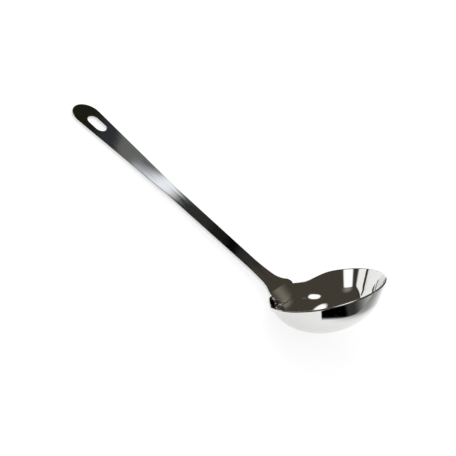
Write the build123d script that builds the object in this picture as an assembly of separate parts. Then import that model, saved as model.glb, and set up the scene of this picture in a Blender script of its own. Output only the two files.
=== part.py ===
from build123d import *

import os
from math import acos, asin, atan2, cos, degrees, hypot, radians, sin, sqrt, tan

# A soup ladle: a deep-drawn steel bowl with a pressed steel handle spot welded inside its back wall.
# It is modelled with the rim level: the origin is the centre of the rim, +X points to the pouring side
# and the handle rises towards -X. Then it is laid down as it rests on a table, on the bowl's back and
# the tip of the handle, with the origin on the table under the middle of its bounding box.
# All lengths are in millimetres, all angles in degrees.

# Bowl
rim_radius = 45.0  # to the rim's outer corner
bowl_depth = 30.0  # from that corner to the lowest point outside
sheet = 1.5
wall_draft = 30.5  # lean of the wall from upright
wall_height_share = 0.54  # of the depth, from the rim down to where wall and bottom would meet
knuckle_radius = 28.0  # outside, where the wall turns into the bottom
rim_break = 0.35  # deburred corners of the rim
dip_depth_share = 0.071  # of the rim's radius, as are the next three: the rim dips beside the handle
dip_place_shares = (0.29, 0.60, 0.89)  # start, middle and end of a dip, out from the middle plane
dip_foot_share = 0.55  # rounding at the bottom of a dip
dip_brow_share = 0.44  # rounding where a dip starts and ends

# Handle, whose lengths run from the bend over the rim
strip = 2.4
handle_rise = 45.4  # climb from the rim's plane
handle_length = 217.0
bend_radius = 5.0  # inside of the bend
flare_length = 30.0  # over which the curve of the tongue fades into the flat handle
shoulder_width = 31.0  # widest, just inside the bowl
shoulder_drop = 2.5  # from the bend down to there
throat_reach = 5.0
throat_width = 16.6
neck_reach = 20.0
neck_width = 12.5  # narrowest
grip_reach = 112.0  # where the sides start to spread
grip_width = 13.8
tip_radius = 12.9
shoulder_round = 3.0
throat_round = 17.0
neck_blend = 120.0
grip_blend = 180.0

# Tongue, the part of the handle lapped inside the bowl
toe_start_share = 0.466  # of the tongue's reach in plan: where its sides end and its round toe starts
toe_width_share = 0.827  # of the shoulder's width, how wide the tongue is there
toe_margin = 0.5  # the tongue stops this far above the knuckle
lap_gap = 0.05  # clearance between the tongue, the wall and the welds

# Hanging slot
slot_length = 17.6
slot_width = 10.4
slot_to_tip = 14.6  # metal left beyond the slot
slot_break = 0.35  # deburred edges

# Spot welds
weld_radius = 2.25
weld_bite = 0.9  # depth of each nugget in the wall and in the tongue
weld_upper_share = 0.367  # of the tongue's length, down from the rim
weld_lower_share = 0.764
weld_spread = 9.0  # angle of the upper welds from the middle
weld_place_shares = [(weld_upper_share, -1), (weld_upper_share, 1), (weld_lower_share, 0)]  # and side
mark_ball_radius = 16.0  # of the round electrode tip that leaves its mark outside
mark_depth = 0.15

overrun = 5.0  # how far cutting shapes and blanks reach past what they cut
same_place = 0.01  # points this close are one corner

bend_angle = 90.0 - wall_draft - handle_rise
wall_height = wall_height_share * bowl_depth
crown_height = bowl_depth - wall_height
crown_reach = rim_radius - wall_height * tan(radians(wall_draft))
crown_radius = (crown_reach ** 2 + crown_height ** 2) / (2 * crown_height)  # outside, of the domed bottom


def along(angle, length):
    """A step of a length in the XZ plane, at an angle from +X."""
    return Vector(length * cos(radians(angle)), 0, length * sin(radians(angle)))


def wall_foot(rim, skin):
    """Where the wall that comes down from a rim meets the domed bottom moved inwards by a skin."""
    centre = Vector(0, crown_radius - bowl_depth)
    down = Vector(0, -1).rotate(Axis.Z, -wall_draft)
    nearest = rim + down * (centre - rim).dot(down)
    return nearest + down * sqrt((crown_radius - skin) ** 2 - (nearest - centre).length ** 2)


def bowl_region(skin):
    """Half of the bowl's outline, as radius and height, moved inwards by a skin. It runs on past the rim."""
    rim = Vector(rim_radius, 0) + Vector(-skin, 0).rotate(Axis.Z, -wall_draft)
    top = rim + Vector(0, bowl_depth).rotate(Axis.Z, -wall_draft)
    foot = wall_foot(rim, skin)
    radius = crown_radius - skin
    bottom = CenterArc((0, crown_radius - bowl_depth), radius, 270, degrees(asin(foot.X / radius)))
    region = make_face([bottom, *Polyline(foot, top, (0, top.Y), bottom @ 0).edges()])
    corner = region.vertices().sort_by_distance(foot)[0]
    return fillet(corner, knuckle_radius - skin)


def knuckle(skin):
    """The knuckle's arc in that outline."""
    return bowl_region(skin).edges().filter_by(GeomType.CIRCLE).sort_by(SortBy.RADIUS)[0]


def crown_sector():
    """Half of the sector that holds the crown, as radius and height: out to where the knuckle starts."""
    centre = Vector(0, crown_radius - bowl_depth)
    edge = centre + (knuckle(0).arc_center - centre).normalized() * 2 * crown_radius
    return make_face(Polyline(centre, edge, (0, edge.Y), close=True))


def crown():
    """The domed bottom. The shell that it is cut from turns about a level axis, so its poles lie off it."""
    half = Rectangle(crown_radius, 2 * crown_radius, align=(Align.MIN, Align.CENTER))
    ring = half & (Circle(crown_radius) - Circle(crown_radius - sheet))
    shell = Pos(0, 0, crown_radius - bowl_depth) * revolve(ring, Axis.Y, 180)
    return shell & revolve(Plane.XZ * crown_sector(), Axis.Z)


def rim_dips():
    """What the two dips beside the handle take off the rim, as prisms along X over the back half."""
    top = sheet * sin(radians(wall_draft))
    start, middle, end = (rim_radius * place for place in dip_place_shares)
    foot, brow = rim_radius * dip_foot_share, rim_radius * dip_brow_share
    low = (middle, -dip_depth_share * rim_radius)
    reach = rim_radius + overrun
    corners = [(0, top), (start, top), low, (end, top), (reach, top)]
    line = FilletPolyline(corners, radius=(brow, foot, brow))
    lid = Polyline(line @ 1, (reach, bowl_depth), (0, bowl_depth), line @ 0)
    dip = extrude(Plane.YZ * make_face([*line.edges(), *lid.edges()]), -reach)
    return [dip, mirror(dip, Plane.XZ)]


def bowl():
    """The drawn bowl: one sheet thick, its rim cut square to the wall, with dips beside the handle."""
    shell = bowl_region(0) - bowl_region(sheet) - crown_sector()
    above = Rectangle(2 * rim_radius, 2 * bowl_depth, align=(Align.CENTER, Align.MIN))
    shell -= Pos(rim_radius, 0) * Rot(0, 0, -wall_draft) * above
    rim_corners = shell.vertices().sort_by(Axis.Y)[-2:]
    shell = chamfer(rim_corners, rim_break)
    return revolve(Plane.XZ * shell, Axis.Z) + crown() - rim_dips()


def back_wall_point(depth, height):
    """A point of the back wall, a depth in from its outside and a height up the wall from the rim."""
    return Vector(-rim_radius, 0, 0) + along(wall_draft, depth) + along(90 + wall_draft, height)


def across(origin, rise):
    """The plane across the strip at a point of its underside, where it climbs at an angle."""
    return Plane(origin=origin, x_dir=(0, -1, 0), z_dir=along(180 - rise, 1))


def strip_section(hollow_radius):
    """The strip's cross section with its underside on an arc, much wider than the strip will be."""
    half = shoulder_width / 2 + overrun
    swing = degrees(asin(half / hollow_radius))
    lower = CenterArc((0, hollow_radius), hollow_radius, 270 - swing, 2 * swing)
    upper = CenterArc((0, hollow_radius), hollow_radius - strip, 270 - swing, 2 * swing)
    sides = [Line(lower @ end, upper @ end) for end in (0, 1)]
    return make_face([lower, upper, *sides])


def flat_section():
    """The same section where the strip is flat."""
    return Rectangle(shoulder_width + 2 * overrun, strip, align=(Align.CENTER, Align.MIN))


def tongue_length():
    """How far the tongue reaches down the wall: to just above the knuckle."""
    depth = sheet + lap_gap
    wall_end = knuckle(depth).vertices().sort_by(Axis.Y)[-1]
    rim = back_wall_point(depth, 0)
    return hypot(-rim.X - wall_end.X, rim.Z - wall_end.Y) - toe_margin


def hollow_radius(drop):
    """Radius of the tongue's underside across the strip, at a drop below the rim along the wall."""
    face = back_wall_point(sheet + lap_gap, -drop)
    return -face.X / cos(radians(wall_draft))


def handle_plane():
    """The plane of the flat handle's underside, its origin at the end of the bend and +X to the tip."""
    centre = back_wall_point(sheet + lap_gap - bend_radius, 0)
    origin = centre + along(90 - handle_rise, bend_radius)
    return Plane(origin=origin, x_dir=along(180 - handle_rise, 1), z_dir=along(90 - handle_rise, 1))


def handle_blank():
    """The pressed strip before its outline is cut: tongue, bend, fading hollow and flat handle."""
    rim = back_wall_point(sheet + lap_gap, 0)
    toe_drop = tongue_length() + overrun
    toe = back_wall_point(sheet + lap_gap, -toe_drop)
    wall_rise = 90 - wall_draft
    at_rim = across(rim, wall_rise) * strip_section(hollow_radius(0))
    at_toe = across(toe, wall_rise) * strip_section(hollow_radius(toe_drop))
    tongue = loft([at_toe, at_rim], ruled=True)

    centre = back_wall_point(sheet + lap_gap - bend_radius, 0)
    bend = revolve(at_rim, Axis(centre, (0, -1, 0)), bend_angle)

    start = handle_plane().origin
    flat_start = start + along(180 - handle_rise, flare_length)
    after_bend = across(start, handle_rise) * strip_section(hollow_radius(0))
    at_flat = across(flat_start, handle_rise) * flat_section()
    flare = loft([after_bend, at_flat], ruled=True)
    flat = extrude(at_flat, handle_length - flare_length + overrun)
    return tongue + bend + flare + flat


def tip_touch(corner):
    """Where the straight side from a corner runs into the round tip."""
    centre = handle_length - tip_radius
    reach = Vector(corner.X - centre, corner.Y)
    angle = atan2(reach.Y, reach.X) - acos(tip_radius / reach.length)
    return Vector(centre + tip_radius * cos(angle), tip_radius * sin(angle))


def handle_outline():
    """The strip's outline in plan, from the toe of the tongue to the round tip."""
    toe_reach = tongue_length() * cos(radians(bend_angle))
    toe_start = Vector(-toe_start_share * toe_reach, toe_width_share * shoulder_width / 2)
    shoulder = Vector(-shoulder_drop, shoulder_width / 2)
    throat = Vector(throat_reach, throat_width / 2)
    neck = Vector(neck_reach, neck_width / 2)
    grip = Vector(grip_reach, grip_width / 2)
    side = Polyline(toe_start, shoulder, throat, neck, grip, tip_touch(grip))
    other_side = mirror(side, Plane.XZ)
    toe = ThreePointArc(side @ 0, (-toe_reach, 0), other_side @ 0)
    tip = ThreePointArc(side @ 1, (handle_length, 0), other_side @ 1)
    outline = make_face([*side.edges(), tip, *other_side.edges(), toe])
    rounds = [(shoulder, shoulder_round), (throat, throat_round), (neck, neck_blend), (grip, grip_blend)]
    for corner, radius in rounds:
        pair = [vertex for vertex in outline.vertices() if abs(vertex.X - corner.X) < same_place]
        outline = fillet(pair, radius)
    return outline


def hanging_slot():
    """The slot near the tip, as a face in the outline's plane."""
    middle = handle_length - slot_to_tip - slot_length / 2
    return Pos(middle, 0) * SlotOverall(slot_length, slot_width)


def through_strip(face):
    """A face of the outline's plane pushed through the whole pressed strip, both ways."""
    reach = tongue_length() + shoulder_width
    return extrude(handle_plane() * face, reach, both=True)


def at_welds(shape, depth):
    """A copy of a shape at each weld, a depth in from the outside of the wall and square to it."""
    copies = []
    for drop_share, side in weld_place_shares:
        origin = back_wall_point(depth, -drop_share * tongue_length())
        seat = Plane(origin=origin, z_dir=along(wall_draft, 1))
        copies.append(Rot(0, 0, side * weld_spread) * (seat * shape))
    return copies


def weld_nuggets(grow):
    """The nuggets across the joint, or with a growth the pockets that hold them."""
    length = 2 * weld_bite + lap_gap + 2 * grow
    return at_welds(Cylinder(weld_radius + grow, length), sheet + lap_gap / 2)


def electrode_marks():
    """Balls that press the shallow round marks into the outside of the back wall at each weld."""
    return at_welds(Sphere(mark_ball_radius), mark_depth - mark_ball_radius)


def handle():
    """The finished handle, its slot deburred on both faces."""
    body = handle_blank() & through_strip(handle_outline())
    body -= through_strip(hanging_slot())
    faces = body.faces().filter_by(GeomType.PLANE).sort_by(SortBy.AREA)[-2:]
    slot_edges = [edge for face in faces for wire in face.inner_wires() for edge in wire.edges()]
    return chamfer(slot_edges, slot_break)


def rest_angle():
    """How far the ladle tips back until its bowl and the tip of its handle both touch the table."""
    tip = handle_plane().origin + along(180 - handle_rise, handle_length)
    centre = knuckle(0).arc_center
    run, fall = -centre.X - tip.X, tip.Z - centre.Y
    return degrees(atan2(fall, run) + asin(knuckle_radius / hypot(run, fall)))


def lay_down(pieces):
    """Turn and shift the pieces from the frame with the rim level to how the ladle rests on a table."""
    tipped = {name: Rot(0, -rest_angle(), 0) * piece for name, piece in pieces.items()}
    box = Compound(list(tipped.values())).bounding_box()
    to_table = Pos(-box.center().X, 0, -box.min.Z)
    return {name: to_table * piece for name, piece in tipped.items()}


def main():
    pockets = weld_nuggets(lap_gap)
    pieces = {
        "bowl": bowl() - pockets - electrode_marks(),
        "handle": handle() - pockets,
    }
    for count, nugget in enumerate(weld_nuggets(0), 1):
        pieces[f"spot_weld_{count}"] = nugget
    os.makedirs("parts", exist_ok=True)
    for name, piece in lay_down(pieces).items():
        export_step(piece, f"parts/{name}.step")


main()
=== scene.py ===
from math import acos, asin, atan2, cos, degrees, hypot, pi, radians, sin, sqrt, tan

import bpy
from mathutils import Matrix, Vector


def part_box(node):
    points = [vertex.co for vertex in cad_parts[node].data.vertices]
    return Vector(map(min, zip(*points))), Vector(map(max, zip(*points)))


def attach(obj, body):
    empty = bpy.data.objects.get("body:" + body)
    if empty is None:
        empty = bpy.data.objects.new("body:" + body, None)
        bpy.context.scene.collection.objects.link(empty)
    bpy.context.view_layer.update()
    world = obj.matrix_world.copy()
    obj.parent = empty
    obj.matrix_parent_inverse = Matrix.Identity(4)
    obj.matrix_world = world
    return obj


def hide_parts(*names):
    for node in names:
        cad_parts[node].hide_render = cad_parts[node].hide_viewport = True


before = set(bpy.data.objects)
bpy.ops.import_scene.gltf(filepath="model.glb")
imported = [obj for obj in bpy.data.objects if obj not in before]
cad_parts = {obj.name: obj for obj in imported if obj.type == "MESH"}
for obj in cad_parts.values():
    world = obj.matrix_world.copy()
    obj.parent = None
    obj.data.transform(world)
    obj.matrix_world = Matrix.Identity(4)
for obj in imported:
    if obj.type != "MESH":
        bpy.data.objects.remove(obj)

bl_info = {
    "name": "Soup Ladle",
    "version": (1, 0, 0),
    "blender": (4, 5, 0),
    "location": "View3D > Sidebar > Ladle",
    "description": "A stainless steel soup ladle with a drawn bowl and a pressed handle",
    "category": "Mesh",
}

MM = 0.001

# How finely the pieces are drawn
SECTION_STEP = 0.8 * MM  # along the bowl's section
BOWL_TURNS = 256  # faces round the bowl
MERGE_GAP = 0.001 * MM  # points closer than this become one
OUTLINE_STEP = 0.5 * MM  # along the outline of the blank and of the slot
EDGE_ANGLE = 50.0  # degrees, rounded where sharper
EDGE_STEPS = 3  # faces across a rounded edge
PRESS_STEP = 0.7 * MM  # along the stretch that the press curves
PRESS_ROWS = 20  # across it
BEND_ROWS = 6  # round the bend


def millimetres(name, description, value):
    """A length that a user can change, given in millimetres and kept in metres."""
    return bpy.props.FloatProperty(
        name=name, description=description, default=value * MM, min=0,
        unit="LENGTH", subtype="DISTANCE", precision=5)


def offset(name, description, value):
    """A length to either side that a user can change, given in millimetres and kept in metres."""
    return bpy.props.FloatProperty(
        name=name, description=description, default=value * MM, unit="LENGTH", precision=5)


def turned(name, description, value):
    """An angle that a user can change, given in degrees and kept in radians."""
    return bpy.props.FloatProperty(
        name=name, description=description, default=radians(value), unit="ROTATION", subtype="ANGLE")


def tint(name, description, value):
    """A colour that a user can change."""
    return bpy.props.FloatVectorProperty(
        name=name, description=description, default=value, min=0, max=1, size=3, subtype="COLOR")


def share(name, description, value, top=1.0):
    """A plain number that a user can change."""
    return bpy.props.FloatProperty(name=name, description=description, default=value, min=0, max=top)


class BowlSizes(bpy.types.PropertyGroup):
    rim_radius: millimetres("Rim radius", "From the bowl's axis to the outer corner of the rim", 45.0)
    depth: millimetres("Depth", "From the rim to the lowest point outside", 30.0)
    sheet: millimetres("Sheet", "Thickness of the steel sheet", 1.5)
    draft: turned("Draft", "How far the wall leans out from upright", 30.5)
    knuckle_radius: millimetres("Knuckle radius", "Outside, where the wall turns into the bottom", 28.0)
    crown_radius: millimetres("Crown radius", "Outside, of the domed bottom", 52.4519)
    rim_round: millimetres("Rim round", "Rounding of the rim's two corners", 0.5)
    dip_depth: millimetres("Dip depth", "How far the rim would dip beside the handle with no rounding", 3.5)
    dip_start: share("Dip start", "Out from the middle, as a share of the rim's radius", 0.29)
    dip_middle: share("Dip middle", "Out from the middle, as a share of the rim's radius", 0.60)
    dip_end: share("Dip end", "Out from the middle, as a share of the rim's radius", 0.89)
    dip_foot: millimetres("Dip foot", "Rounding at the bottom of a dip", 25.0)
    dip_brow: millimetres("Dip brow", "Rounding where a dip starts and ends", 20.0)
    dip_fade: millimetres("Dip fade", "How far down the wall the dips are felt", 14.0)


class HandleSizes(bpy.types.PropertyGroup):
    strip: millimetres("Strip", "Thickness of the handle", 2.4)
    rise: turned("Rise", "How steeply the handle climbs from the plane of the rim", 45.4)
    length: millimetres("Length", "From the bend to the tip", 217.0)
    bend_radius: millimetres("Bend radius", "Inside of the bend over the rim", 5.0)
    flare_length: millimetres("Flare length", "Over which the tongue's hollow fades out", 30.0)
    lap_gap: millimetres("Lap gap", "Between the tongue and the wall", 0.05)
    shoulder_width: millimetres("Shoulder width", "Widest, just inside the bowl", 31.0)
    shoulder_drop: millimetres("Shoulder drop", "From the bend down to there", 2.5)
    throat_reach: millimetres("Throat reach", "From the bend to the throat", 5.0)
    throat_width: millimetres("Throat width", "Across the throat's corners", 16.6)
    neck_reach: millimetres("Neck reach", "From the bend to the neck", 20.0)
    neck_width: millimetres("Neck width", "Narrowest", 12.5)
    grip_reach: millimetres("Grip reach", "From the bend to where the sides spread", 112.0)
    grip_width: millimetres("Grip width", "Where the sides start to spread", 13.8)
    tip_radius: millimetres("Tip radius", "Of the round end", 12.9)
    toe_start: share("Toe start", "Where the round toe starts, as a share of the tongue's reach", 0.466)
    toe_width: share("Toe width", "How wide it is there, as a share of the shoulder's width", 0.827)
    toe_margin: millimetres("Toe margin", "From the tongue's end to the knuckle", 0.5)
    shoulder_round: millimetres("Shoulder round", "Rounding of the shoulder", 3.0)
    throat_round: millimetres("Throat round", "Rounding of the throat", 17.0)
    neck_blend: millimetres("Neck blend", "Rounding of the neck", 120.0)
    grip_blend: millimetres("Grip blend", "Rounding where the sides spread", 180.0)
    slot_length: millimetres("Slot length", "Of the hanging slot", 17.6)
    slot_width: millimetres("Slot width", "Of the hanging slot", 10.4)
    slot_to_tip: millimetres("Slot to tip", "Metal left beyond the slot", 14.6)
    edge_round: millimetres("Edge round", "Rounding of the deburred edges", 0.4)


class SteelFinish(bpy.types.PropertyGroup):
    bowl_tint: tint("Bowl steel", "Colour of the polished bowl", (0.80, 0.80, 0.79))
    handle_tint: tint("Handle steel", "Colour of the polished handle", (0.79, 0.79, 0.79))
    weld_tint: tint("Weld steel", "Colour of the fused metal", (0.62, 0.62, 0.61))
    weld_straw: tint("Weld straw", "Heat tint in patches of the fused metal", (0.589, 0.5332, 0.427))
    bowl_roughness: share("Bowl roughness", "How dull the bowl's polish is", 0.03)
    handle_roughness: share("Handle roughness", "How dull the handle's polish is", 0.03)
    weld_roughness: share("Weld roughness", "How dull the fused metal is", 0.42)
    weld_spread: share("Weld spread", "How much duller it is in places", 0.15)
    weld_depth: millimetres("Weld depth", "Of the fused metal's bumps", 0.02)
    haze: share("Haze", "How much the polish varies from place to place", 0.010)
    hairline_shade: share("Hairline shade", "Brightness left in the bowl's hairline scratches", 0.965)
    mark_width: millimetres("Mark width", "Of the polishing marks along the handle", 1.6)
    mark_length: millimetres("Mark length", "Of the polishing marks along the handle", 60.0)
    mark_depth: millimetres("Mark depth", "Of the polishing marks along the handle", 0.014)
    mark_shade: share("Mark shade", "Brightness left where the marks lie thick", 0.93)
    mark_dullness: share("Mark dullness", "How much duller the steel is there", 0.02)
    ripple_depth: millimetres("Ripple depth", "Of the faint waves that drawing leaves in the bowl", 0.012)


class StageLook(bpy.types.PropertyGroup):
    floor_tint: tint("Floor", "Colour of the floor", (0.90, 0.90, 0.90))
    camera_lift: share("Camera lift", "How far the floor is lifted to white for the camera", 0.70)
    steel_lift: share("Steel lift", "How far the floor is lifted to white for the steel", 0.50)
    lift_white: share("Lift white", "Brightness of that white", 1.1, 2.0)
    room_tint: tint("Room", "Colour of the dark room that only the steel shows", (0.062, 0.053, 0.040))
    room_radius: millimetres("Room radius", "Of the dark room", 3000.0)
    # Painted reflections, which only the steel shows: the table's dark end and the card
    table_radius: millimetres("Table radius", "Where the white table ends for the steel", 290.0)
    table_fade: millimetres("Table fade", "Over which it ends", 120.0)
    table_dusk: tint("Table dusk", "Colour that the table's end fades to", (0.27, 0.27, 0.26))
    table_dark: tint("Table dark", "Colour beyond it", (0.04, 0.038, 0.034))
    card_radius: millimetres("Card radius", "Inner radius of the painted reflection card beside the bowl", 119.5)
    card_x: offset("Card X", "Centre of the card's arc", 149.0)
    card_y: offset("Card Y", "Centre of the card's arc", 68.6)
    card_start: offset("Card start", "Where its straight side is, from the centre of its arc", -91.3)
    card_sheen: share("Card sheen", "Brightness of the card past its black end", 0.04)
    sheen_start: turned("Sheen start", "Round the card's arc, where its black end stops", -45.0)
    sheen_end: turned("Sheen end", "Where the sheen is whole", -35.0)
    fade_start: turned("Fade start", "Where the card starts to fade to white", -25.0)
    fade_end: turned("Fade end", "Where it is white", 55.0)
    sky: share("Sky", "Light of the white tent that lights the floor", 1.0)
    lamp_power: bpy.props.FloatProperty(
        name="Lamp", description="Power of the soft lamp", default=2.0, min=0, unit="POWER")
    lamp_size: millimetres("Lamp size", "Across the soft lamp", 1200.0)
    lamp_distance: millimetres("Lamp distance", "From the middle of the floor", 1600.0)
    lamp_azimuth: turned("Lamp azimuth", "From +X to +Y", 156.0)
    lamp_height: turned("Lamp height", "Above the horizon", 55.0)
    lens: bpy.props.FloatProperty(
        name="Lens", description="Focal length", default=108.1, min=1, unit="CAMERA")
    camera_place: bpy.props.FloatVectorProperty(
        name="Camera place", description="In the frame", subtype="TRANSLATION",
        default=(0.26265, -0.78602, 0.63886))
    camera_turn: bpy.props.FloatVectorProperty(
        name="Camera turn", description="About X, Y and Z", subtype="EULER",
        default=(radians(48.1088), radians(-25.3774), radians(38.3332)))


def sizes(name):
    """The settings group of that name on the scene."""
    return getattr(bpy.context.scene, name)


# The shapes, with the rim level, its centre at the origin and +X away from the handle


def wall_point(depth, height):
    """A point of the bowl's wall, as radius and height: a depth in from the outside, a height up along it."""
    bowl = sizes("ladle_bowl")
    inward = Vector((-cos(bowl.draft), sin(bowl.draft)))
    upward = Vector((sin(bowl.draft), cos(bowl.draft)))
    return Vector((bowl.rim_radius, 0)) + inward * depth + upward * height


def knuckle_centre():
    """The centre of the knuckle's arc, as radius and height. It touches the wall and the crown."""
    bowl = sizes("ladle_bowl")
    upward = Vector((sin(bowl.draft), cos(bowl.draft)))
    start = wall_point(bowl.knuckle_radius, 0) - Vector((0, bowl.crown_radius - bowl.depth))
    reach = bowl.crown_radius - bowl.knuckle_radius
    half = start.dot(upward)
    slide = -half - sqrt(half ** 2 - start.length_squared + reach ** 2)
    return wall_point(bowl.knuckle_radius, slide)


def arc(centre, radius, start, end, step):
    """Points along an arc from a start to an end angle in degrees, about a step apart."""
    count = max(2, round(radius * radians(abs(end - start)) / step))
    angles = [radians(start + (end - start) * index / count) for index in range(count + 1)]
    return [centre + radius * Vector((cos(angle), sin(angle))) for angle in angles]


def wall_line(depth, step):
    """The wall's straight line at a depth, from the rim down to the knuckle."""
    bowl = sizes("ladle_bowl")
    centre = knuckle_centre()
    upward = Vector((sin(bowl.draft), cos(bowl.draft)))
    drop = (centre - wall_point(depth, 0)).dot(upward)
    count = round(-drop / step)
    return [wall_point(depth, drop * index / count) for index in range(count + 1)]


def bowl_skin(depth, step):
    """One face of the bowl's section, from the rim to the axis, at a depth from the outside."""
    bowl = sizes("ladle_bowl")
    knuckle = knuckle_centre()
    crown = Vector((0, bowl.crown_radius - bowl.depth))
    turn = degrees(atan2(knuckle.y - crown.y, knuckle.x))
    points = wall_line(depth, step)
    points += arc(knuckle, bowl.knuckle_radius - depth, degrees(-bowl.draft), turn, step)[1:]
    points += arc(crown, bowl.crown_radius - depth, turn, -90, step)[1:]
    points[-1].x = 0
    return points


def bowl_section(step):
    """The whole section, from the axis outside, over the rim, to the axis inside."""
    bowl = sizes("ladle_bowl")
    lean = degrees(bowl.draft)
    rounding = bowl.rim_round
    outer = bowl_skin(0, step)
    inner = bowl_skin(bowl.sheet, step)
    outer_centre = wall_point(rounding, -rounding)
    inner_centre = wall_point(bowl.sheet - rounding, -rounding)
    corner = rounding / 4
    rim = arc(outer_centre, rounding, -lean, 90 - lean, corner)
    rim += arc(inner_centre, rounding, 90 - lean, 180 - lean, corner)
    return outer[:0:-1] + rim + inner[1:]


def dip_line():
    """The rim's drop against the way out from the middle, from the middle to the rim's side."""
    bowl = sizes("ladle_bowl")
    places = [bowl.rim_radius * place for place in (0, bowl.dip_start, bowl.dip_middle, bowl.dip_end, 1)]
    corners = [Vector((place, 0)) for place in places]
    corners[2].y = -bowl.dip_depth
    points = [corners[0]]
    for index, radius in enumerate([bowl.dip_brow, bowl.dip_foot, bowl.dip_brow], 1):
        points += rounded(*corners[index - 1:index + 2], radius, MM)
    return points + [corners[-1]]


def rim_drop(line, across):
    """How far the rim lies below its plane at a distance out from the middle."""
    after = next((index for index, point in enumerate(line) if point.x > across), len(line) - 1)
    left, right = line[after - 1], line[after]
    return -left.lerp(right, (across - left.x) / (right.x - left.x)).y


def dip_rim(mesh):
    """Draws the back of the rim down along the wall on both sides of the handle."""
    bowl = sizes("ladle_bowl")
    line = dip_line()
    upward = Vector((sin(bowl.draft), cos(bowl.draft)))
    for vertex in mesh.vertices:
        flat = Vector(vertex.co.xy)
        if flat.x >= 0 or flat.length < MM:
            continue
        below = (Vector((bowl.rim_radius, 0)) - Vector((flat.length, vertex.co.z))).dot(upward)
        hold = 1 - max(0, below) / bowl.dip_fade
        if hold > 0:
            out = flat.normalized()
            slide = hold * rim_drop(line, bowl.rim_radius * abs(out.y)) / cos(bowl.draft)
            vertex.co -= Vector((*(out * upward.x), upward.y)) * slide


def rest_matrix():
    """Lays the ladle down as the frame has it: on the bowl's knuckle and the handle's tip."""
    bowl = sizes("ladle_bowl")
    handle = sizes("ladle_handle")
    centre = knuckle_centre()
    to_plan = handle_matrix()
    tip = to_plan @ Vector((handle.length, 0, 0))
    run, fall = -centre.x - tip.x, tip.z - centre.y
    tilt = atan2(fall, run) + asin(bowl.knuckle_radius / hypot(run, fall))
    turn = Matrix.Rotation(-tilt, 4, "Y")
    lowest = (turn @ Vector((-centre.x, 0, centre.y))).z - bowl.knuckle_radius
    far_end = (turn @ to_plan @ Vector((handle.length, 0, handle.strip))).x
    return Matrix.Translation((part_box("handle")[0].x - far_end, 0, -lowest)) @ turn


def bend_angle():
    """How far the strip turns over the rim, from the slope of the wall to the handle's rise."""
    return pi / 2 - sizes("ladle_bowl").draft - sizes("ladle_handle").rise


def handle_matrix():
    """From the flat handle's own frame, +X to the tip and z = 0 on its underside, to the level ladle's."""
    handle = sizes("ladle_handle")
    seat = sizes("ladle_bowl").sheet + handle.lap_gap
    centre = wall_point(seat - handle.bend_radius, 0)
    outward = Vector((-cos(handle.rise), 0, sin(handle.rise)))
    normal = Vector((sin(handle.rise), 0, cos(handle.rise)))
    origin = Vector((-centre.x, 0, centre.y)) + normal * handle.bend_radius
    return Matrix.Translation(origin) @ Matrix((outward, normal.cross(outward), normal)).transposed().to_4x4()


def tongue_length():
    """From the rim's level down along the wall to the tongue's end."""
    handle = sizes("ladle_handle")
    seat = sizes("ladle_bowl").sheet + handle.lap_gap
    line = wall_line(seat, MM)
    return (line[0] - line[-1]).length - handle.toe_margin


def hollow_radius(drop):
    """Radius of the tongue's underside across the strip, a drop below the rim's level."""
    bowl = sizes("ladle_bowl")
    return wall_point(bowl.sheet + sizes("ladle_handle").lap_gap, -drop).x / cos(bowl.draft)


def tip_touch(corner):
    """Where the straight side from a corner runs into the round tip."""
    handle = sizes("ladle_handle")
    centre = Vector((handle.length - handle.tip_radius, 0))
    reach = corner - centre
    angle = atan2(reach.y, reach.x) - acos(handle.tip_radius / reach.length)
    return centre + handle.tip_radius * Vector((cos(angle), sin(angle)))


def rounded(before, corner, after, radius, step):
    """The points of a rounded corner between two straight sides."""
    first, second = (before - corner).normalized(), (after - corner).normalized()
    half = first.angle(second) / 2
    middle = (first + second).normalized()
    centre = corner + middle * radius / sin(half)
    start = corner + first * radius / tan(half) - centre
    end = corner + second * radius / tan(half) - centre
    count = max(4, round(radius * start.angle(end) / step))
    turn = start.angle_signed(end)
    points = []
    for index in range(count + 1):
        angle = -turn * index / count
        points.append(centre + Matrix.Rotation(angle, 2) @ start)
    return points


def blank_side(step):
    """One long side of the flat blank, from the middle of the toe to the middle of the tip."""
    handle = sizes("ladle_handle")
    toe_reach = tongue_length() * cos(bend_angle())
    toe_start = Vector((-handle.toe_start * toe_reach, handle.toe_width * handle.shoulder_width / 2))
    toe_rise = toe_start.x + toe_reach
    toe_radius = (toe_start.y ** 2 + toe_rise ** 2) / (2 * toe_rise)
    toe = Vector((toe_radius - toe_reach, 0))
    tip = Vector((handle.length - handle.tip_radius, 0))
    shoulder = Vector((-handle.shoulder_drop, handle.shoulder_width / 2))
    throat = Vector((handle.throat_reach, handle.throat_width / 2))
    neck = Vector((handle.neck_reach, handle.neck_width / 2))
    grip = Vector((handle.grip_reach, handle.grip_width / 2))
    tip_start = tip_touch(grip)
    toe_turn = degrees(atan2(toe_start.y, toe_start.x - toe.x))
    tip_turn = degrees(atan2(tip_start.y, tip_start.x - tip.x))
    corners = [toe_start, shoulder, throat, neck, grip, tip_start]
    rounds = [handle.shoulder_round, handle.throat_round, handle.neck_blend, handle.grip_blend]
    points = arc(toe, toe_radius, 180, toe_turn, step)
    for index, radius in enumerate(rounds, 1):
        points += rounded(*corners[index - 1:index + 2], radius, step)
    points += arc(tip, handle.tip_radius, tip_turn, 0, step)
    return [Vector((unrolled(point.x), point.y)) for point in points]


def unrolled(plan):
    """The place along the flat blank of a place in plan, which the bend shortens."""
    handle = sizes("ladle_handle")
    turn = bend_angle()
    past_bend = -plan - handle.bend_radius * sin(turn)
    if plan >= 0:
        return plan
    if past_bend <= 0:
        return -handle.bend_radius * asin(-plan / handle.bend_radius)
    return -handle.bend_radius * turn - past_bend / cos(turn)


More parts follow.
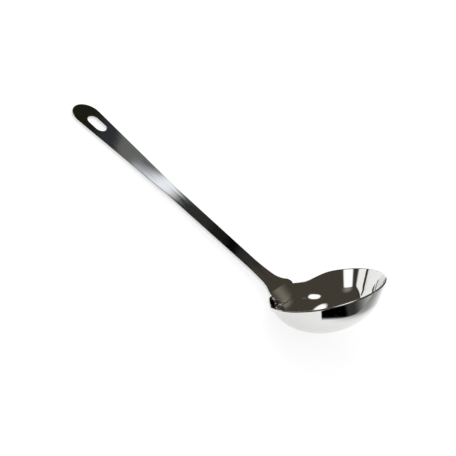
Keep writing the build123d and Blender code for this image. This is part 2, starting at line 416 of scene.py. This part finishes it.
def pressed(point):
    """Where the press takes a point of the flat blank: hollow at the tongue, bent over the rim."""
    handle = sizes("ladle_handle")
    x, y, z = point
    if x >= handle.flare_length:
        return Vector((x, y, z))
    turn = bend_angle()
    drop = max(0, -x - handle.bend_radius * turn)
    radius = hollow_radius(drop)
    hollow = radius - sqrt((radius - z) ** 2 - y ** 2)
    if x >= 0:
        fade = x / handle.flare_length
        return Vector((x, y, hollow + (z - hollow) * fade))
    angle = min(-x / handle.bend_radius, turn)
    arm = handle.bend_radius + hollow
    along = -arm * sin(angle) - drop * cos(angle)
    up = arm * cos(angle) - drop * sin(angle) - handle.bend_radius
    return Vector((along, y, up))


# Modelling


def start_piece(name):
    """A new mesh piece in edit mode, cut down to one vertex at the origin."""
    bpy.ops.object.select_all(action="DESELECT")
    bpy.ops.mesh.primitive_plane_add(size=MM)
    piece = bpy.context.active_object
    piece.name = piece.data.name = name
    bpy.ops.object.mode_set(mode="EDIT")
    bpy.ops.mesh.select_all(action="SELECT")
    bpy.ops.mesh.merge(type="CENTER")
    return piece


def draw_line(points):
    """Extrudes the single vertex at the origin along the points."""
    bpy.ops.transform.translate(value=points[0])
    for point, before in zip(points[1:], points):
        bpy.ops.mesh.extrude_region_move(TRANSFORM_OT_translate={"value": point - before})


def draw_block(points, height):
    """Draws an outline, fills it and extrudes it up to a solid."""
    draw_line(points)
    bpy.ops.mesh.select_all(action="SELECT")
    bpy.ops.mesh.edge_face_add()
    bpy.ops.mesh.extrude_region_move(TRANSFORM_OT_translate={"value": (0, 0, height)})
    close_skin()


def close_skin():
    """Turns every face of the piece in hand outward and leaves edit mode."""
    bpy.ops.mesh.select_all(action="SELECT")
    bpy.ops.mesh.normals_make_consistent(inside=False)
    bpy.ops.object.mode_set(mode="OBJECT")


def finish_piece(piece, matrix, slot, node):
    """Puts the piece in the frame, on the body and in place of a CAD node, and gives it its steel."""
    piece.data.transform(matrix)
    bpy.ops.object.select_all(action="DESELECT")
    piece.select_set(True)
    bpy.context.view_layer.objects.active = piece
    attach(piece, "root")
    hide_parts(node)
    bpy.ops.object.shade_smooth()
    piece.data.materials.append(bpy.data.materials[slot])


class LADLE_OT_bowl(bpy.types.Operator):
    """Draws the bowl's section and spins it round its axis"""

    bl_idname = "ladle.bowl"
    bl_label = "Bowl"

    def execute(self, context):
        piece = start_piece("ladle_bowl")
        draw_line([Vector((point.x, 0, point.y)) for point in bowl_section(SECTION_STEP)])
        bpy.ops.mesh.select_all(action="SELECT")
        bpy.ops.mesh.spin(steps=BOWL_TURNS, angle=2 * pi, center=(0, 0, 0), axis=(0, 0, 1))
        bpy.ops.mesh.select_all(action="SELECT")
        bpy.ops.mesh.remove_doubles(threshold=MERGE_GAP)
        close_skin()
        dip_rim(piece.data)
        finish_piece(piece, rest_matrix(), "bowl_steel", "bowl")
        return {"FINISHED"}


class LADLE_OT_handle(bpy.types.Operator):
    """Blanks the strip, punches its slot, deburrs it and presses it to shape"""

    bl_idname = "ladle.handle"
    bl_label = "Handle"

    def execute(self, context):
        handle = sizes("ladle_handle")
        piece = start_piece("ladle_handle")
        side = blank_side(OUTLINE_STEP)
        outline = side + [Vector((point.x, -point.y)) for point in side[-2:0:-1]]
        draw_block([point.to_3d() for point in outline], handle.strip)
        self.punch(piece, handle)
        self.deburr(piece, handle)
        self.divide(handle)
        for vertex in piece.data.vertices:
            vertex.co = pressed(vertex.co)
        finish_piece(piece, rest_matrix() @ handle_matrix(), "handle_steel", "handle")
        normals = piece.modifiers.new("Flats", "WEIGHTED_NORMAL")
        normals.keep_sharp = True
        bpy.ops.object.modifier_apply(modifier=normals.name)
        return {"FINISHED"}

    def punch(self, piece, handle):
        """Cuts the slot with a punch of the same shape."""
        radius = handle.slot_width / 2
        middle = handle.length - handle.slot_to_tip - handle.slot_length / 2
        half = handle.slot_length / 2 - radius
        punch = start_piece("slot_punch")
        ends = arc(Vector((middle + half, 0)), radius, -90, 90, OUTLINE_STEP)
        ends += arc(Vector((middle - half, 0)), radius, 90, 270, OUTLINE_STEP)
        draw_block([Vector((point.x, point.y, -handle.strip)) for point in ends], 3 * handle.strip)
        cut = piece.modifiers.new("Slot", "BOOLEAN")
        cut.operation = "DIFFERENCE"
        cut.solver = "EXACT"
        cut.object = punch
        bpy.ops.object.select_all(action="DESELECT")
        bpy.context.view_layer.objects.active = piece
        bpy.ops.object.modifier_apply(modifier=cut.name)
        bpy.data.objects.remove(punch)

    def deburr(self, piece, handle):
        """Rounds every edge of the blank and the slot."""
        bevel = piece.modifiers.new("Edges", "BEVEL")
        bevel.width = handle.edge_round
        bevel.segments = EDGE_STEPS
        bevel.limit_method = "ANGLE"
        bevel.angle_limit = radians(EDGE_ANGLE)
        bevel.use_clamp_overlap = False
        bpy.ops.object.modifier_apply(modifier=bevel.name)

    def divide(self, handle):
        """Cuts the stretch that the press will curve into small faces."""
        bpy.ops.object.mode_set(mode="EDIT")
        bend = handle.bend_radius * bend_angle()
        reach = tongue_length() + bend
        rows = round((reach + handle.flare_length) / PRESS_STEP)
        places = [-reach + PRESS_STEP * index for index in range(rows + 1)]
        places += [-bend * index / BEND_ROWS for index in range(BEND_ROWS + 1)]
        for place in places:
            bpy.ops.mesh.select_all(action="SELECT")
            bpy.ops.mesh.bisect(plane_co=(place, 0, 0), plane_no=(1, 0, 0))
        for index in range(1 - PRESS_ROWS // 2, PRESS_ROWS // 2):
            bpy.ops.mesh.select_all(action="DESELECT")
            self.select_before(handle.flare_length + PRESS_STEP)
            across = index * handle.shoulder_width / PRESS_ROWS
            bpy.ops.mesh.bisect(plane_co=(0, across, 0), plane_no=(0, 1, 0))
        bpy.ops.object.mode_set(mode="OBJECT")

    def select_before(self, place):
        """Selects the faces whose vertices all lie before a place along the strip."""
        bpy.ops.object.mode_set(mode="OBJECT")
        mesh = bpy.context.active_object.data
        for polygon in mesh.polygons:
            polygon.select = all(mesh.vertices[index].co.x < place for index in polygon.vertices)
        bpy.ops.object.mode_set(mode="EDIT")


# Nodes

# The patterns, in waves to the metre
CLOUDS = 38.0
WIPES = (30.0, 170.0, 60.0)
HAIRLINES = ((2400.0, 60.0, 200.0), (120.0, 2600.0, 90.0))
BROAD_WAVES, CLOSE_WAVES = 75.0, 190.0
WELD_MOTTLE = 1400.0
FINE_GRAIN = (1.7, 3.1, 3.1)  # waves to one wave of the broad grain
# The noise values between which each pattern rises
CLOUD_RISE, WIPE_RISE, HAIRLINE_RISE = (0.35, 0.75), (0.5, 0.8), (0.66, 0.74)
GRAIN_RISE, STRAW_RISE, DULL_RISE = (0.35, 0.75), (0.4, 0.7), (0.3, 0.7)
# The weight of the broad pattern in a height, of which the close one has the rest
BROAD_GRAIN, BROAD_RIPPLE = 0.7, 0.75
NEARLY_ZERO = 0.001  # so that nothing is divided by zero


def feed(tree, socket, value):
    """Links another socket to an input, or sets a plain value on it."""
    if isinstance(value, bpy.types.NodeSocket):
        tree.links.new(value, socket)
    else:
        socket.default_value = value


def maths(tree, operation, *values):
    """A Math node on numbers or sockets."""
    node = tree.nodes.new("ShaderNodeMath")
    node.operation = operation
    for socket, value in zip(node.inputs, values):
        feed(tree, socket, value)
    return node.outputs[0]


def vectors(tree, operation, *values):
    """A Vector Math node on vectors or sockets. A dot product or a length gives a number."""
    node = tree.nodes.new("ShaderNodeVectorMath")
    node.operation = operation
    for socket, value in zip(node.inputs, values):
        feed(tree, socket, value)
    return node.outputs["Value" if operation in ("DOT_PRODUCT", "LENGTH") else "Vector"]


def ramp(tree, value, low, high, to_low=0.0, to_high=1.0):
    """A smooth rise of a value between two bounds."""
    node = tree.nodes.new("ShaderNodeMapRange")
    node.interpolation_type = "SMOOTHSTEP"
    bounds = {"Value": value, "From Min": low, "From Max": high, "To Min": to_low, "To Max": to_high}
    for name, entry in bounds.items():
        feed(tree, node.inputs[name], entry)
    return node.outputs["Result"]


def weighted(tree, first, second, weight):
    """The sum of two values, of which the first has a weight and the second the rest."""
    rest = maths(tree, "MULTIPLY", second, 1 - weight)
    return maths(tree, "ADD", maths(tree, "MULTIPLY", first, weight), rest)


def blend(tree, factor, first, second):
    """Mixes two colours."""
    node = tree.nodes.new("ShaderNodeMix")
    node.data_type = "RGBA"
    feed(tree, node.inputs["Factor"], factor)
    for name, colour in (("A", first), ("B", second)):
        feed(tree, node.inputs[name], colour if isinstance(colour, bpy.types.NodeSocket) else (*colour, 1))
    return node.outputs["Result"]


def noise(tree, at, scale, detail):
    """A noise value at a place."""
    node = tree.nodes.new("ShaderNodeTexNoise")
    feed(tree, node.inputs["Vector"], at)
    node.inputs["Scale"].default_value = scale
    node.inputs["Detail"].default_value = detail
    return node.outputs["Fac"]


def new_group(name, inputs, outputs):
    """A node group with its sockets, and the two nodes that carry them inside."""
    group = bpy.data.node_groups.new(name, "ShaderNodeTree")
    for label, kind in inputs.items():
        group.interface.new_socket(name=label, in_out="INPUT", socket_type=f"NodeSocket{kind}")
    for label, kind in outputs.items():
        group.interface.new_socket(name=label, in_out="OUTPUT", socket_type=f"NodeSocket{kind}")
    return group, group.nodes.new("NodeGroupInput").outputs, group.nodes.new("NodeGroupOutput").inputs


def place_group(tree, group, **values):
    """A group node in a material, with its values set by name."""
    node = tree.nodes.new("ShaderNodeGroup")
    node.node_tree = group
    for name, value in values.items():
        feed(tree, node.inputs[name], value)
    return node.outputs


def polish_group():
    """Handling haze in soft clouds and wipes, and hairline scratches that run two ways."""
    group, into, out = new_group(
        "polish", {"Place": "Vector", "Amount": "Float"}, {"Haze": "Float", "Scratch": "Float"})
    clouds = noise(group, into["Place"], CLOUDS, 3.0)
    wipes = noise(group, vectors(group, "MULTIPLY", into["Place"], WIPES), 1.0, 2.0)
    haze = maths(group, "ADD", ramp(group, clouds, *CLOUD_RISE), ramp(group, wipes, *WIPE_RISE))
    feed(group, out["Haze"], maths(group, "MULTIPLY", haze, into["Amount"]))
    lines = [noise(group, vectors(group, "MULTIPLY", into["Place"], way), 1.0, 1.0) for way in HAIRLINES]
    strokes = [ramp(group, line, *HAIRLINE_RISE) for line in lines]
    feed(group, out["Scratch"], maths(group, "MAXIMUM", *strokes))
    return group


def grain_group():
    """Polishing marks along X: fine streaks of height, and a mask of where they lie thick."""
    group, into, out = new_group(
        "grain", {"Place": "Vector", "Width": "Float", "Length": "Float"},
        {"Height": "Float", "Mask": "Float"})
    along = maths(group, "DIVIDE", 1.0, into["Length"])
    across = maths(group, "DIVIDE", 1.0, into["Width"])
    stretch = group.nodes.new("ShaderNodeCombineXYZ")
    for name, value in (("X", along), ("Y", across), ("Z", across)):
        feed(group, stretch.inputs[name], value)
    at = vectors(group, "MULTIPLY", into["Place"], stretch.outputs[0])
    broad = noise(group, at, 1.0, 1.0)
    fine = noise(group, vectors(group, "MULTIPLY", at, FINE_GRAIN), 1.0, 2.0)
    feed(group, out["Height"], weighted(group, broad, fine, BROAD_GRAIN))
    feed(group, out["Mask"], ramp(group, fine, *GRAIN_RISE))
    return group


def painted_patch_group():
    """Where a direction falls on a soft-edged patch of painted reflection round another direction. Its
    corners go from an ellipse at 2 to nearly square at 9."""
    group, into, out = new_group(
        "painted patch",
        {"Direction": "Vector", "Middle": "Vector", "Right": "Vector", "Up": "Vector",
         "Half width": "Float", "Half height": "Float", "Softness": "Float", "Corner": "Float"},
        {"Mask": "Float"})
    facing = vectors(group, "DOT_PRODUCT", into["Direction"], into["Middle"])
    depth = maths(group, "MAXIMUM", facing, NEARLY_ZERO)
    shares = []
    for axis, size in (("Right", "Half width"), ("Up", "Half height")):
        off = maths(group, "DIVIDE", vectors(group, "DOT_PRODUCT", into["Direction"], into[axis]), depth)
        part = maths(group, "ABSOLUTE", maths(group, "DIVIDE", off, into[size]))
        shares.append(maths(group, "POWER", part, into["Corner"]))
    root = maths(group, "DIVIDE", 1.0, into["Corner"])
    reach = maths(group, "POWER", maths(group, "ADD", *shares), root)
    least = maths(group, "MINIMUM", into["Half width"], into["Half height"])
    inside = maths(group, "MULTIPLY", maths(group, "SUBTRACT", 1.0, reach), least)
    low = maths(group, "MULTIPLY", into["Softness"], -0.5)
    high = maths(group, "MULTIPLY", into["Softness"], 0.5)
    mask = ramp(group, inside, low, high)
    feed(group, out["Mask"], maths(group, "MULTIPLY", mask, maths(group, "GREATER_THAN", facing, 0.0)))
    return group


def ripple_group():
    """Faint waves that drawing leaves in a sheet."""
    group, into, out = new_group("ripple", {"Place": "Vector"}, {"Height": "Float"})
    broad = noise(group, into["Place"], BROAD_WAVES, 0.0)
    close = noise(group, into["Place"], CLOSE_WAVES, 0.0)
    feed(group, out["Height"], weighted(group, broad, close, BROAD_RIPPLE))
    return group


def object_place(tree):
    """The place of a surface point in the frame."""
    return tree.nodes.new("ShaderNodeTexCoord").outputs["Object"]


def laid(tree, matrix):
    """The place of a surface point in a piece's own frame, before the ladle was laid down."""
    mapping = tree.nodes.new("ShaderNodeMapping")
    back = matrix.inverted()
    mapping.inputs["Location"].default_value = back.to_translation()
    mapping.inputs["Rotation"].default_value = back.to_euler()
    feed(tree, mapping.inputs["Vector"], object_place(tree))
    return mapping.outputs["Vector"]


def steel(name):
    """A steel's nodes and its shader's inputs, on the material of that name, which the CAD nodes bring."""
    material = bpy.data.materials.get(name) or bpy.data.materials.new(name)
    material.use_nodes = True
    tree = material.node_tree
    tree.nodes.clear()
    shader = tree.nodes.new("ShaderNodeBsdfPrincipled")
    feed(tree, tree.nodes.new("ShaderNodeOutputMaterial").inputs["Surface"], shader.outputs[0])
    shader.inputs["Metallic"].default_value = 1
    return tree, shader.inputs


def bump(tree, height, depth):
    """A normal from a height between 0 and 1 and its depth in metres."""
    node = tree.nodes.new("ShaderNodeBump")
    node.inputs["Distance"].default_value = depth
    feed(tree, node.inputs["Height"], height)
    return node.outputs["Normal"]


class LADLE_OT_finish(bpy.types.Operator):
    """Makes the steels"""

    bl_idname = "ladle.finish"
    bl_label = "Steel finishes"

    def execute(self, context):
        finish = sizes("ladle_finish")
        polish, grain, ripple = polish_group(), grain_group(), ripple_group()
        self.bowl_steel(finish, polish, ripple)
        self.handle_steel(finish, polish, grain)
        self.weld_steel(finish)
        for name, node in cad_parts.items():
            if name.startswith("spot_weld"):
                node.data.materials.clear()
                node.data.materials.append(bpy.data.materials["weld_steel"])
        return {"FINISHED"}

    def bowl_steel(self, finish, polish, ripple):
        """Drawn sheet, polished almost to a mirror, with a faint haze, hairlines and waves."""
        tree, shader = steel("bowl_steel")
        marks = place_group(tree, polish, Place=object_place(tree), Amount=finish.haze)
        waves = place_group(tree, ripple, Place=object_place(tree))
        darker = [channel * finish.hairline_shade for channel in finish.bowl_tint]
        feed(tree, shader["Base Color"], blend(tree, marks["Scratch"], finish.bowl_tint, darker))
        feed(tree, shader["Roughness"], maths(tree, "ADD", marks["Haze"], finish.bowl_roughness))
        feed(tree, shader["Normal"], bump(tree, waves["Height"], finish.ripple_depth))

    def handle_steel(self, finish, polish, grain):
        """Pressed strip, polished along its length."""
        tree, shader = steel("handle_steel")
        place = laid(tree, rest_matrix() @ handle_matrix())
        marks = place_group(tree, polish, Place=place, Amount=finish.haze)
        streaks = place_group(tree, grain, Place=place, Width=finish.mark_width, Length=finish.mark_length)
        darker = [channel * finish.mark_shade for channel in finish.handle_tint]
        marked = maths(tree, "MULTIPLY", streaks["Mask"], finish.mark_dullness)
        dull = maths(tree, "ADD", marks["Haze"], marked)
        feed(tree, shader["Base Color"], blend(tree, streaks["Mask"], finish.handle_tint, darker))
        feed(tree, shader["Roughness"], maths(tree, "ADD", dull, finish.handle_roughness))
        feed(tree, shader["Normal"], bump(tree, streaks["Height"], finish.mark_depth))

    def weld_steel(self, finish):
        """Fused metal, dull, mottled and stained by its heat."""
        tree, shader = steel("weld_steel")
        mottle = noise(tree, object_place(tree), WELD_MOTTLE, 3.0)
        duller = finish.weld_roughness + finish.weld_spread
        patches = ramp(tree, mottle, *STRAW_RISE)
        feed(tree, shader["Base Color"], blend(tree, patches, finish.weld_tint, finish.weld_straw))
        feed(tree, shader["Roughness"], ramp(tree, mottle, *DULL_RISE, finish.weld_roughness, duller))
        feed(tree, shader["Normal"], bump(tree, mottle, finish.weld_depth))


# Stage

FLOOR_SIZE, TABLE_EDGE_SIZE, CARD_SIZE = 8.0, 7.5, 1.2  # metres
SHEET_GAP = 0.2 * MM  # from the floor to the dark sheet over it, and from there to the card
TABLE_OVERLAP = 10 * MM  # how far inside the table's end the full dark begins
CARD_SIDE = (0.57, 0.82, 0)  # square to the card's straight side
CARD_SIDE_BLUR, CARD_ARC_BLUR = 1.0 * MM, 1.5 * MM  # half the width of each soft edge
CARD_TINT = (1, 1, 0.97, 1)
WHITE = (1, 1, 1, 1)
ROOM_SEGMENTS = 96
SENSOR_WIDTH = 36  # millimetres
# Painted reflections on the room, which only the steel shows and which light nothing: azimuth from +X to +Y,
# height above the horizon, half width, half height, roll and softness of the edge, all in degrees, then the
# squareness of the corners and the colour
PAINTED_REFLECTIONS = {
    "window behind the bowl": (79, 31, 4.0, 12, 13, 15, 2, (0.30, 0.275, 0.22)),
    "skylight": (72, 81, 1.2, 3.5, -25, 2.5, 2, (0.19, 0.175, 0.145)),
    "dim wall behind the handle": (115.5, 35.5, 7.6, 5.0, 5, 1.5, 9, (0.030, 0.030, 0.029)),
    "blue-grey wall": (119.0, 35.0, 0.8, 5.0, 7, 0.6, 9, (0.032, 0.035, 0.041)),
    "dark doorway": (122.2, 34.5, 1.9, 6, 5, 0.8, 9, (0.015, 0.014, 0.009)),
    "grey screen": (116.5, 35.2, 1.4, 5, 7, 0.15, 9, (0.150, 0.155, 0.145)),
    "dark post": (115.6, 34.6, 0.25, 1.2, -42, 0.3, 9, (0.09, 0.095, 0.105)),
    "light above the screen": (115.9, 36.45, 0.9, 1.0, 0, 0.5, 4, (0.62, 0.65, 0.68)),
    "strip light": (114.3, 35.9, 0.70, 6, -42, 0.9, 9, (1.05, 1.08, 1.13)),
    "dark shelf": (108.9, 37, 0.9, 5, 0, 0.6, 9, (0.012, 0.012, 0.011)),
    "black gap": (108.0, 37, 0.4, 3, 0, 0.4, 9, (0.001, 0.001, 0.001)),
    "glow beside the window": (-138, 15, 9, 8, -30, 12, 2, (0.25, 0.24, 0.22)),
    "window in front": (-129.7, 9.9, 4.9, 9.1, -30, 2.0, 5, (1.25, 1.25, 1.25)),
    "softbox at the left": (155, 44.5, 11, 5.6, 20, 4, 2.4, (1.25, 1.25, 1.25)),
    "softbox above": (-141.4, 78.5, 7.6, 11.5, -10, 3, 2.4, (1.25, 1.25, 1.25)),
}


def direction(azimuth, height):
    """The way towards an azimuth and a height, given in radians."""
    return Vector((cos(height) * cos(azimuth), cos(height) * sin(azimuth), sin(height)))


def only_in_steel(piece):
    """Hides a card or a screen from all but reflections."""
    piece.visible_camera = piece.visible_diffuse = piece.visible_shadow = False
    piece.visible_transmission = piece.visible_volume_scatter = False


def plain_tree(name):
    """An empty material's tree and its output."""
    material = bpy.data.materials.new(name)
    material.use_nodes = True
    tree = material.node_tree
    tree.nodes.clear()
    return material, tree, tree.nodes.new("ShaderNodeOutputMaterial").inputs["Surface"]


def glow(tree, colour, strength=1.0):
    """An emission shader."""
    node = tree.nodes.new("ShaderNodeEmission")
    feed(tree, node.inputs["Color"], colour)
    feed(tree, node.inputs["Strength"], strength)
    return node.outputs[0]


def mixed(tree, factor, first, second):
    """Mixes two shaders."""
    node = tree.nodes.new("ShaderNodeMixShader")
    for socket, value in zip(node.inputs, (factor, first, second)):
        feed(tree, socket, value)
    return node.outputs[0]


def background_rays(tree):
    """1 for the rays that show the background: from the camera, off metal and through glass."""
    rays = tree.nodes.new("ShaderNodeLightPath").outputs
    shown = maths(tree, "MAXIMUM", rays["Is Camera Ray"], rays["Is Glossy Ray"])
    return maths(tree, "MAXIMUM", shown, rays["Is Transmission Ray"])


class LADLE_OT_stage(bpy.types.Operator):
    """Sets the floor, the room, the lights and the camera"""

    bl_idname = "ladle.stage"
    bl_label = "Stage"

    def execute(self, context):
        look = sizes("ladle_stage")
        context.scene.view_settings.view_transform = "Standard"
        self.floor(context, look)
        self.room(context, look)
        self.painted_table_edge(context, look)
        self.painted_reflection_card(context, look)
        self.sky(context, look)
        self.lamp(context, look)
        self.camera(context, look)
        return {"FINISHED"}

    def sheet(self, context, name, size, height, material):
        """A level square sheet round the origin."""
        bpy.ops.object.select_all(action="DESELECT")
        bpy.ops.mesh.primitive_plane_add(size=size, location=(0, 0, height))
        bpy.ops.object.transform_apply(location=True)
        sheet = context.active_object
        sheet.name = name
        sheet.data.materials.append(material)
        return sheet

    def floor(self, context, look):
        """A pale floor: lit as any surface is, and lifted to white where it is the background."""
        material, tree, surface = plain_tree("floor")
        lit = tree.nodes.new("ShaderNodeBsdfDiffuse")
        lit.inputs["Color"].default_value = (*look.floor_tint, 1)
        rays = tree.nodes.new("ShaderNodeLightPath").outputs
        direct = maths(tree, "MAXIMUM", rays["Is Camera Ray"], rays["Is Transmission Ray"])
        seen = maths(tree, "MULTIPLY", direct, look.camera_lift)
        mirrored = maths(tree, "MULTIPLY", rays["Is Glossy Ray"], look.steel_lift)
        lift = maths(tree, "ADD", seen, mirrored)
        feed(tree, surface, mixed(tree, lift, lit.outputs[0], glow(tree, WHITE, look.lift_white)))
        self.sheet(context, "floor", FLOOR_SIZE, 0, material)

    def room(self, context, look):
        """The dark room that only the steel shows above the floor, painted with reflections of windows and
        softboxes that light nothing.
        """
        material, tree, surface = plain_tree("room")
        way = vectors(tree, "NORMALIZE", object_place(tree))
        group = painted_patch_group()
        colour = look.room_tint
        for azimuth, height, wide, high, roll, soft, corner, light in PAINTED_REFLECTIONS.values():
            middle = direction(radians(azimuth), radians(height))
            right = Vector((0, 0, 1)).cross(middle).normalized()
            turn = Matrix.Rotation(radians(roll), 3, middle)
            right, up = turn @ right, turn @ middle.cross(right)
            spans = {"Half width": wide, "Half height": high, "Softness": soft}
            spans = {name: tan(radians(span)) for name, span in spans.items()}
            mask = place_group(
                tree, group, Direction=way, Middle=middle, Right=right, Up=up, Corner=corner, **spans)
            # Paints this patch's reflection onto the room; it lights nothing
            colour = blend(tree, mask["Mask"], colour, light)
        feed(tree, surface, glow(tree, colour))
        bpy.ops.object.select_all(action="DESELECT")
        bpy.ops.mesh.primitive_uv_sphere_add(
            segments=ROOM_SEGMENTS, ring_count=ROOM_SEGMENTS // 2, radius=look.room_radius)
        room = context.active_object
        room.name = "room"
        room.data.materials.append(material)
        only_in_steel(room)

    def painted_table_edge(self, context, look):
        """A painted reflection: a dark ring on a sheet that only the steel shows, as if the white table ended
        there.
        """
        material, tree, surface = plain_tree("painted table edge")
        reach = vectors(tree, "LENGTH", object_place(tree))
        mask = ramp(tree, reach, look.table_radius - look.table_fade, look.table_radius)
        beyond = ramp(tree, reach, look.table_radius - TABLE_OVERLAP, look.table_radius + look.table_fade)
        dark = blend(tree, beyond, look.table_dusk, look.table_dark)
        clear = tree.nodes.new("ShaderNodeBsdfTransparent").outputs[0]
        feed(tree, surface, mixed(tree, mask, clear, glow(tree, dark)))
        only_in_steel(self.sheet(context, "painted_table_edge", TABLE_EDGE_SIZE, SHEET_GAP, material))

    def painted_reflection_card(self, context, look):
        """A painted reflection: a card that only the steel shows beside the bowl, black at one end and fading
        to white round it, which paints the dark band that the bowl's outside mirrors.
        """
        material, tree, surface = plain_tree("painted reflection card")
        height = 2 * SHEET_GAP
        place = vectors(tree, "SUBTRACT", object_place(tree), (look.card_x, look.card_y, height))
        parts = tree.nodes.new("ShaderNodeSeparateXYZ")
        feed(tree, parts.inputs[0], place)
        turn = maths(tree, "ARCTAN2", parts.outputs["Y"], parts.outputs["X"])
        reach = vectors(tree, "LENGTH", place)
        outside = ramp(tree, reach, look.card_radius - CARD_ARC_BLUR, look.card_radius + CARD_ARC_BLUR)
        side = vectors(tree, "DOT_PRODUCT", place, CARD_SIDE)
        begun = ramp(tree, side, look.card_start - CARD_SIDE_BLUR, look.card_start + CARD_SIDE_BLUR)
        # The card's painted tone in the steel: a dim sheen past its black end, then a fade to white
        sheen = ramp(tree, turn, look.sheen_start, look.sheen_end, 0.0, look.card_sheen)
        fade = ramp(tree, turn, look.fade_start, look.fade_end, 0.0, 1 - look.card_sheen)
        tone = maths(tree, "ADD", sheen, fade)
        clear = tree.nodes.new("ShaderNodeBsdfTransparent").outputs[0]
        there = maths(tree, "MULTIPLY", outside, begun)
        feed(tree, surface, mixed(tree, there, clear, glow(tree, CARD_TINT, tone)))
        only_in_steel(self.sheet(context, "painted_reflection_card", CARD_SIZE, height, material))

    def sky(self, context, look):
        """White for the background, and a plain even light for everything else."""
        world = bpy.data.worlds.new("sky")
        world.use_nodes = True
        tree = world.node_tree
        shader = tree.nodes["Background"].inputs
        shader["Color"].default_value = WHITE
        feed(tree, shader["Strength"], ramp(tree, background_rays(tree), 0.0, 1.0, look.sky, 1.0))
        context.scene.world = world

    def lamp(self, context, look):
        """One large soft lamp from the back left. The steel shows the room's painted softbox reflections in
        its place.
        """
        light = bpy.data.lights.new("soft_lamp", "AREA")
        light.shape = "DISK"
        light.size = look.lamp_size
        light.energy = look.lamp_power
        way = direction(look.lamp_azimuth, look.lamp_height)
        lamp = bpy.data.objects.new("soft_lamp", light)
        lamp.location = way * look.lamp_distance
        lamp.rotation_euler = way.to_track_quat("Z", "Y").to_euler()
        lamp.visible_glossy = False
        context.scene.collection.objects.link(lamp)

    def camera(self, context, look):
        """The camera, at the photograph's place."""
        camera = bpy.data.cameras.new("camera")
        camera.lens = look.lens
        camera.sensor_width = SENSOR_WIDTH
        rig = bpy.data.objects.new("camera", camera)
        rig.location = look.camera_place
        rig.rotation_euler = look.camera_turn
        context.scene.collection.objects.link(rig)
        context.scene.camera = rig


class LADLE_PT_sidebar(bpy.types.Panel):
    """Shows a button for each step and every setting in the sidebar"""

    bl_label = "Soup Ladle"
    bl_idname = "LADLE_PT_sidebar"
    bl_space_type = "VIEW_3D"
    bl_region_type = "UI"
    bl_category = "Ladle"

    def draw(self, context):
        """A button for each step, then every setting."""
        for operator in OPERATORS:
            self.layout.operator(operator.bl_idname)
        for name in SETTINGS:
            group = getattr(context.scene, name)
            for setting in group.__annotations__:
                self.layout.prop(group, setting)


SETTINGS = {
    "ladle_bowl": BowlSizes,
    "ladle_handle": HandleSizes,
    "ladle_finish": SteelFinish,
    "ladle_stage": StageLook,
}
OPERATORS = [LADLE_OT_finish, LADLE_OT_bowl, LADLE_OT_handle, LADLE_OT_stage]


def register():
    """Adds the settings, the steps and the panel."""
    for name, group in SETTINGS.items():
        bpy.utils.register_class(group)
        setattr(bpy.types.Scene, name, bpy.props.PointerProperty(type=group))
    for cls in [*OPERATORS, LADLE_PT_sidebar]:
        bpy.utils.register_class(cls)


def unregister():
    """Takes them away again."""
    for cls in [LADLE_PT_sidebar, *reversed(OPERATORS)]:
        bpy.utils.unregister_class(cls)
    for name, group in SETTINGS.items():
        delattr(bpy.types.Scene, name)
        bpy.utils.unregister_class(group)


def main():
    """Makes the ladle and its stage."""
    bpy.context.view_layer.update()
    register()
    bpy.ops.ladle.finish()
    bpy.ops.ladle.bowl()
    bpy.ops.ladle.handle()
    bpy.ops.ladle.stage()


if __name__ == "__main__":
    main()
